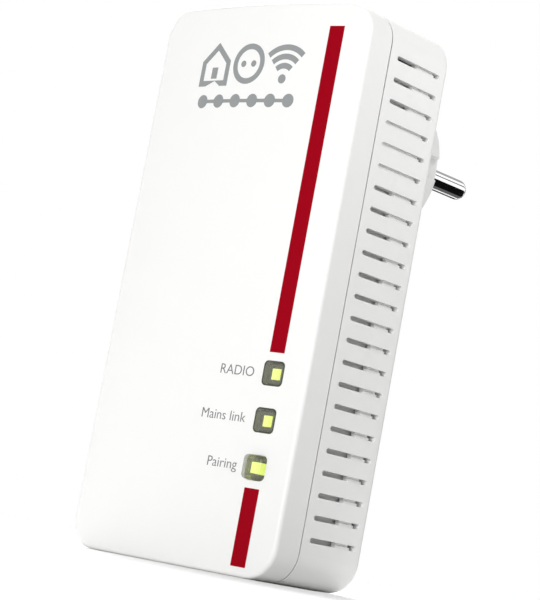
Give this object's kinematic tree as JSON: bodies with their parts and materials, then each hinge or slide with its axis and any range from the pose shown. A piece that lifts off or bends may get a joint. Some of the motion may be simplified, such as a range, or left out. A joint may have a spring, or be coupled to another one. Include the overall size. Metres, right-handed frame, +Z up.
{
  "type": "powerline network adapter",
  "caption": "Tall white wall-plug network adapter with a gently curved front, a red stripe, lit windows, a press button, side vents, a bottom network socket and a round earthed plug behind.",
  "frame": {"origin": "centre of the flat bottom of the housing", "axes": "+Z up, +Y from the front cover back along the plug pins, +X to the right seen from the front"},
  "size_m": [0.0612, 0.0703, 0.1254],
  "materials": {
    "housing_white": "fine satin moulded plastic",
    "smoked_lens": "smoked clear gloss",
    "clear_guide": "clear, lit yellow-green",
    "holder_grey": "matte moulded",
    "pin_chrome": "polished nickel plate",
    "clip_steel": "nickel-plated spring strip",
    "board_green": "solder mask",
    "chip_black": "moulded epoxy",
    "ferrite_dark": "dull ground ferrite",
    "winding_copper": "enamelled wire",
    "can_aluminium": "sleeved can",
    "film_yellow": "moulded box",
    "disc_blue": "dipped coating",
    "shield_tin": "tin plate",
    "sink_aluminium": "extruded, plain",
    "screw_steel": "zinc plate",
    "jack_black": "glass-filled plastic",
    "contact_gold": "gold flash",
    "label_film": "printed polyester film",
    "pad_grey": "soft thermal pad",
    "led_body": "clear resin",
    "print_red": "screen-printed ink",
    "print_grey": "screen-printed ink"
  },
  "bodies": {
    "housing": {"front_cover": "housing_white", "rear_housing": "housing_white", "plug_body": "housing_white", "rating_label": "label_film", "mains_pin_left": "pin_chrome", "mains_pin_right": "pin_chrome", "earth_clip_upper": "clip_steel", "earth_clip_lower": "clip_steel", "indicator_lens_upper": "smoked_lens", "indicator_lens_lower": "smoked_lens", "light_guide_upper": "clear_guide", "light_guide_lower": "clear_guide", "light_guide_button": "clear_guide", "light_guide_holder": "holder_grey", "status_leds": "led_body", "connect_switch": "chip_black", "logic_board": "board_green", "power_board": "board_green", "logic_board_screws": "screw_steel", "power_board_screws": "screw_steel", "ethernet_jack_shell": "shield_tin", "ethernet_jack_insert": "jack_black", "ethernet_contacts": "contact_gold", "ethernet_magnetics": "chip_black", "modem_chip": "chip_black", "thermal_pad": "pad_grey", "heat_sink": "sink_aluminium", "memory_chip": "chip_black", "flash_chip": "chip_black", "clock_crystal": "shield_tin", "wireless_chip": "chip_black", "wireless_shield": "shield_tin", "antenna_left": "shield_tin", "antenna_right": "shield_tin", "transformer_core": "ferrite_dark", "transformer_winding": "winding_copper", "choke_core": "ferrite_dark", "choke_windings": "winding_copper", "bulk_capacitors": "can_aluminium", "output_capacitor": "can_aluminium", "x_capacitor": "film_yellow", "coupling_capacitor": "film_yellow", "mains_fuse": "chip_black", "varistor": "disc_blue", "y_capacitor": "disc_blue", "bridge_rectifier": "chip_black", "switching_regulator": "chip_black", "optocoupler": "chip_black", "coupling_transformer": "ferrite_dark", "board_connector": "jack_black"},
    "button": {"connect_button": "smoked_lens"},
    "plunger": {"switch_plunger": "jack_black"}
  },
  "joints": [
    {"name": "button_press", "type": "slide", "parent": "housing", "child": "button", "axis": [0, 1, 0], "range_m": [0, 0.0004], "stiffness_N_per_m": 1500},
    {"name": "plunger_travel", "type": "slide", "parent": "housing", "child": "plunger", "axis": [0, 1, 0], "range_m": [0, 0.0004]}
  ],
  "couplings": [
    {"joint": "plunger_travel", "follows": "button_press", "ratio": 1}
  ]
}
